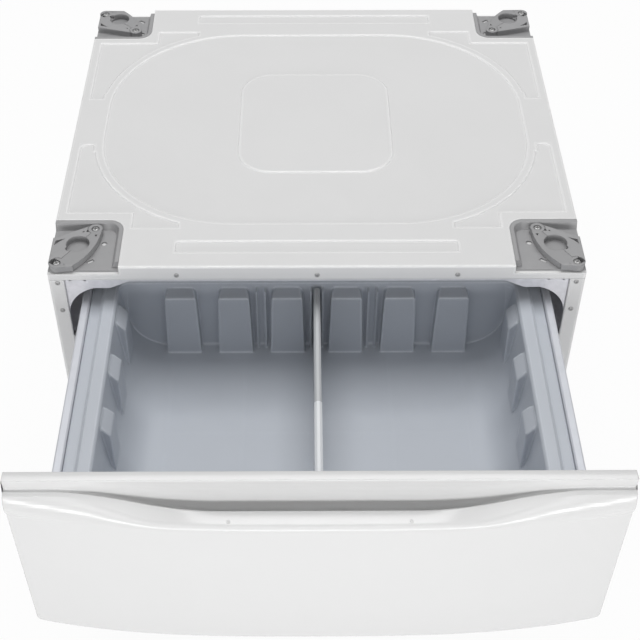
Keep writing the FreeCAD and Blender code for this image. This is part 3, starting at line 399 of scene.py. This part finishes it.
def make_front_dots(material):
    """Two small moulded dots on the ledge below the finger trough. Sizes are in millimetres."""
    place, behind_lip = 99.0, 9.0
    outline = front_outline(place)
    lip = max(outline, key=lambda p: p.x)
    forward = lip.x - behind_lip
    ledge = [p for p in outline if p.y > lip.y]
    behind = max((p for p in ledge if p.x < forward), key=lambda p: p.x)
    before = min((p for p in ledge if p.x > forward), key=lambda p: p.x)
    up = behind.y + (before.y - behind.y) * (forward - behind.x) / (before.x - behind.x)
    profile = ((2.2, -1.5), (2.1, 0.4), (1.6, 0.8), (0.8, 0.9))
    for side, name in ((-1, "left"), (1, "right")):
        bm = bmesh.new()
        skin(bm, [[((side * place + x) * MM, FRONT_HIGH.y - (forward + y) * MM, (up + rise) * MM)
                   for x, y in circle(radius, 24)] for radius, rise in profile])
        dot = mesh_object("front_dot_" + name, bm, material)
        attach(dot, "drawer")


# ---------------------------------------------------------------- screws
def crossed_head(bm, matrix, radius, height, recess):
    """Domed head with a cross recess, its seat on the matrix's origin and its top along +Z."""
    segments, lobes, waist = 32, 4, 0.38
    dome = ((1.0, 0.0), (1.0, 0.35), (0.93, 0.68), (0.78, 0.9), (0.62, 1.0))
    rings = [(level, [share * radius] * segments) for share, level in dome]
    waves = [abs(math.cos(lobes * math.pi * i / segments)) ** 3 for i in range(segments)]
    arms = [waist + (1 - waist) * wave for wave in waves]
    rings += [(level, [recess * shrink * arm for arm in arms])
              for level, shrink in ((1.0, 1.0), (0.35, 0.78), (0.2, 0.3))]
    skin(bm, [[matrix @ Vector((x * r, y * r, level * height))
               for (x, y), r in zip(circle(1.0, segments), radii)] for level, radii in rings])


def node_spots(node, axis):
    """Each separate piece of a node, in order of place: its highest spot along an axis and its size."""
    bm = bmesh.new()
    bm.from_mesh(frame["nodes"][node].data)
    bmesh.ops.remove_doubles(bm, verts=bm.verts, dist=1e-6)
    left = set(bm.verts)
    spots = []
    while left:
        queue, piece = [left.pop()], []
        while queue:
            vertex = queue.pop()
            piece.append(vertex.co.copy())
            for edge in vertex.link_edges:
                other = edge.other_vert(vertex)
                if other in left:
                    left.remove(other)
                    queue.append(other)
        low = Vector([min(p[i] for p in piece) for i in range(3)])
        high = Vector([max(p[i] for p in piece) for i in range(3)])
        spot = (low + high) / 2
        spot[axis] = high[axis]
        spots.append((spot, high - low))
    bm.free()
    return sorted(spots, key=lambda found: tuple(found[0]))


def make_pan_heads(material):
    """Cross-recess heads of the front flange's screws, in place of the plain ones."""
    for node in ("top_flange_screws", "side_flange_screws"):
        bm = bmesh.new()
        for number, (spot, size) in enumerate(node_spots(node, 1)):
            turn = Matrix.Rotation(math.radians(90), 4, "X") @ Matrix.Rotation(0.6 * number, 4, "Z")
            crossed_head(bm, Matrix.Translation(spot) @ turn, size.x / 2, size.y, size.x * 0.32)
        stand_in(mesh_object(node + "_crossed", bm, material), node)


def make_clamp_bolts(material):
    """Flanged bolts with deep cross recesses in the clamps' counterbores."""
    head, head_radius, shank_radius, recess = 3.2 * MM, 4.5 * MM, 3 * MM, 3.2 * MM
    into_head = 0.2 * MM
    for node in ("clamp_pivot_bolts", "clamp_lock_screws"):
        bm = bmesh.new()
        for number, (spot, size) in enumerate(node_spots(node, 2)):
            place = Matrix.Translation(spot - Vector((0, 0, head)))
            place = place @ Matrix.Rotation(0.5 * number, 4, "Z")
            crossed_head(bm, place, head_radius, head, recess)
            skin(bm, [[place @ Vector((x, y, z)) for x, y in circle(shank_radius, 24)]
                      for z in (head - size.z, into_head)])
        stand_in(mesh_object(node + "_crossed", bm, material), node)


# ---------------------------------------------------------------- brackets and gussets
class Corner:
    """Places measured inwards from one corner of the cabinet, in millimetres."""

    def __init__(self, place):
        self.side = 1 if place.endswith("left") else -1
        self.depth = 1 if place.startswith("front") else -1
        self.x = -HALF_WIDTH * self.side
        self.y = CABINET_LOW.y if self.depth > 0 else CABINET_HIGH.y

    def spot(self, x, y, z):
        return Vector((self.x + self.side * x * MM, self.y + self.depth * y * MM, z))


# Plan shapes in millimetres from the cabinet's corner: the pockets in the two clamp halves, the
# notch beside the seat as x, y and radius, and the toe from the arm's lock ear to its curved side.
DETAILS = {"front": {"fixed": [[(37, 69.2), (40.8, 69.8), (39.6, 72.4)],
                               [(42.6, 69.6), (46.2, 70.6), (45.2, 74.6), (43.4, 74.0)],
                               [(4.0, 43.5), (5.0, 53.5), (17.5, 57.5), (10.0, 51.0)]],
                     "arm": [[(54.2, 64.8), (58.0, 65.0), (56.4, 60.2)]],
                     "notch": (23.6, 37.6, 4.2),
                     "toe": [(11.0, 0.7), (33.4, 3.6), (33.4, 8.0), (20.0, 7.0), (15.0, 5.0)]},
           "rear": {"fixed": [[(46, 52.0), (49.6, 52.6), (48.4, 55.2)],
                              [(4.0, 36.5), (5.0, 45.5), (17.5, 49.0), (10.0, 43.5)]],
                    "arm": [[(60.2, 46.8), (64.0, 47.0), (62.4, 42.6)]],
                    "notch": (21.0, 18.6, 4.2),
                    "toe": [(9.0, 0.7), (38.4, 1.2), (38.4, 6.0), (18.0, 6.5), (14.0, 5.0)]}}


def plan_solid(corner, outline, low, high, scale_low=1.0, scale_high=1.0):
    """A solid between two levels over an outline in the plan of one corner. A scale tapers it."""
    points = [corner.spot(x, y, 0) for x, y in outline]
    middle = sum(points, Vector()) / len(points)
    bm = bmesh.new()
    skin(bm, [[middle + (p - middle) * scale + Vector((0, 0, z)) for p in points]
              for z, scale in ((low, scale_low), (high, scale_high))])
    return mesh_object("tool", bm, None)


def shaped_copy(node, tools):
    """A copy of a CAD node with solids cut out or joined on, standing for that node."""
    copy = bpy.data.objects.new(node + "_detailed", frame["nodes"][node].data.copy())
    bpy.context.scene.collection.objects.link(copy)
    for operation, tool in tools:
        step = copy.modifiers.new("step", "BOOLEAN")
        step.operation = operation
        step.solver = "EXACT"
        step.object = tool
    graph = bpy.context.evaluated_depsgraph_get()
    mesh = bpy.data.meshes.new_from_object(copy.evaluated_get(graph))
    copy.modifiers.clear()
    copy.data = mesh
    for _, tool in tools:
        bpy.data.objects.remove(tool)
    stand_in(copy, node)


def make_clamps():
    """Pockets, notches and toes of the foot holders."""
    pocket_depth, notch_depth, past = 4.5 * MM, 5.5 * MM, 2 * MM
    for place in ("front_left", "front_right", "rear_left", "rear_right"):
        corner, shape = Corner(place), DETAILS[place.split("_")[0]]
        arm = "clamp_arm_" + place
        low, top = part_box(arm)[0].z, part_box(arm)[1].z
        notch_x, notch_y, radius = shape["notch"]
        notch = [(notch_x + x, notch_y + y) for x, y in circle(radius, 20)]
        for part, node in (("fixed", "foot_bracket_" + place), ("arm", arm)):
            tools = [("DIFFERENCE", plan_solid(corner, pocket, top - pocket_depth, top + past, 0.8, 1.03))
                     for pocket in shape[part]]
            tools.append(("DIFFERENCE", plan_solid(corner, notch, top - notch_depth, top + past)))
            if part == "arm":
                tools.append(("UNION", plan_solid(corner, shape["toe"], low, top - 0.01 * MM)))
            shaped_copy(node, tools)


def make_weld_spots(material):
    """Two spot welds on each corner gusset, as shallow dimpled buttons. Sizes are in millimetres."""
    height = 336
    profile = ((2.7, -0.2), (2.6, 0.2), (1.9, 0.25), (1.2, 0.0))
    for side, name in ((-1, "left"), (1, "right")):
        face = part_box("corner_gusset_" + name)[0].y
        bm = bmesh.new()
        for place in (297, 316):
            skin(bm, [[((side * place + x) * MM, face - rise * MM, (height + z) * MM)
                       for x, z in circle(radius, 24)] for radius, rise in profile])
        welds = mesh_object("weld_spots_" + name, bm, material)
        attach(welds, "cabinet")


# ---------------------------------------------------------------- stage
def make_floor(material):
    """A wide flat floor, just below the feet."""
    mesh = bpy.data.meshes.new("studio_floor")
    half, low = 15.0, -0.0005
    mesh.from_pydata([(-half, -half, 0), (half, -half, 0), (half, half, 0), (-half, half, 0)],
                     [], [(0, 1, 2, 3)])
    mesh.materials.append(material)
    floor = bpy.data.objects.new("studio_floor", mesh)
    floor.location = (0, 0, low)
    bpy.context.scene.collection.objects.link(floor)


def seen_ray(tree):
    """1 for the rays that show the ground or the world itself: those of the camera and of gloss."""
    path = tree.nodes.new("ShaderNodeLightPath")
    seen = tree.nodes.new("ShaderNodeMath")
    seen.operation = "MAXIMUM"
    tree.links.new(path.outputs["Is Camera Ray"], seen.inputs[0])
    tree.links.new(path.outputs["Is Glossy Ray"], seen.inputs[1])
    return seen.outputs[0]


def white_ground():
    """Pale ground that the camera sees as nearly white, with a trace of the object's shadow."""
    white_share = 0.95
    finish = Finish("studio_ground", colour(0.93), 0.9)
    finish.mottle(2.0, 0.005)
    tree = finish.tree
    glow = tree.nodes.new("ShaderNodeEmission")
    glow.inputs["Strength"].default_value = 1.0
    share = tree.nodes.new("ShaderNodeMath")
    share.operation = "MULTIPLY"
    share.inputs[1].default_value = white_share
    finish.link(seen_ray(tree), share.inputs[0])
    mix = tree.nodes.new("ShaderNodeMixShader")
    finish.link(share.outputs[0], mix.inputs[0])
    finish.link(finish.shader.outputs["BSDF"], mix.inputs[1])
    finish.link(glow.outputs["Emission"], mix.inputs[2])
    finish.link(mix.outputs[0], tree.nodes["Material Output"].inputs["Surface"])
    return finish.material


def make_world():
    """An even white sky, weaker as a light than it looks."""
    as_light, as_seen = 0.29, 1.0
    world = bpy.data.worlds.new("studio")
    bpy.context.scene.world = world
    world.use_nodes = True
    nodes, links = world.node_tree.nodes, world.node_tree.links
    background = nodes["Background"]
    background.inputs["Color"].default_value = (1, 1, 1, 1)
    strength = nodes.new("ShaderNodeMapRange")
    strength.inputs["To Min"].default_value = as_light
    strength.inputs["To Max"].default_value = as_seen
    links.new(seen_ray(world.node_tree), strength.inputs["Value"])
    links.new(strength.outputs["Result"], background.inputs["Strength"])


def lamp(name, place, aim, size, power):
    """A soft rectangular lamp, its size in metres and its power in watts."""
    data = bpy.data.lights.new(name, "AREA")
    data.shape = "RECTANGLE"
    data.size, data.size_y = size
    data.energy = power
    made = bpy.data.objects.new(name, data)
    made.location = place
    made.rotation_euler = (Vector(aim) - Vector(place)).to_track_quat("-Z", "Y").to_euler()
    bpy.context.scene.collection.objects.link(made)


def make_lights():
    """Two lamps overhead and a low wide one for the drawer front."""
    middle = (0.0, -0.2, 0.3)
    lamp("key_above", (0.0, 0.6, 2.7), middle, (2.4, 1.4), 40.0)
    lamp("front_top", (0.0, -2.2, 2.4), middle, (2.0, 1.0), 8.0)
    lamp("front_low", (0.0, -3.0, 0.62), (0.0, -0.3, 0.40), (3.4, 0.6), 48.0)


def make_camera():
    """The photograph's viewpoint: above and in front, looking down at the open drawer."""
    look_down, turn = math.radians(44.5), math.radians(-0.25)
    off_middle, photo_width = 11.0, 640       # pixels
    data = bpy.data.cameras.new("camera")
    data.sensor_width = 36.0
    data.lens = 71.55
    data.shift_x = off_middle / photo_width
    made = bpy.data.objects.new("camera", data)
    made.location = (-0.0155, -1.31425, 1.440)
    made.rotation_euler = (math.pi / 2 - look_down, 0, turn)
    bpy.context.scene.collection.objects.link(made)
    bpy.context.scene.camera = made


materials = make_materials()
dress_frame(materials)
make_front(materials["front_gloss"])
make_pan_heads(materials["screws"])
make_clamp_bolts(materials["screws"])
make_clamps()
make_weld_spots(materials["galvanised"])
make_front_dots(materials["front_gloss"])
make_floor(white_ground())
make_world()
make_lights()
make_camera()
bpy.context.scene.view_settings.view_transform = "Standard"
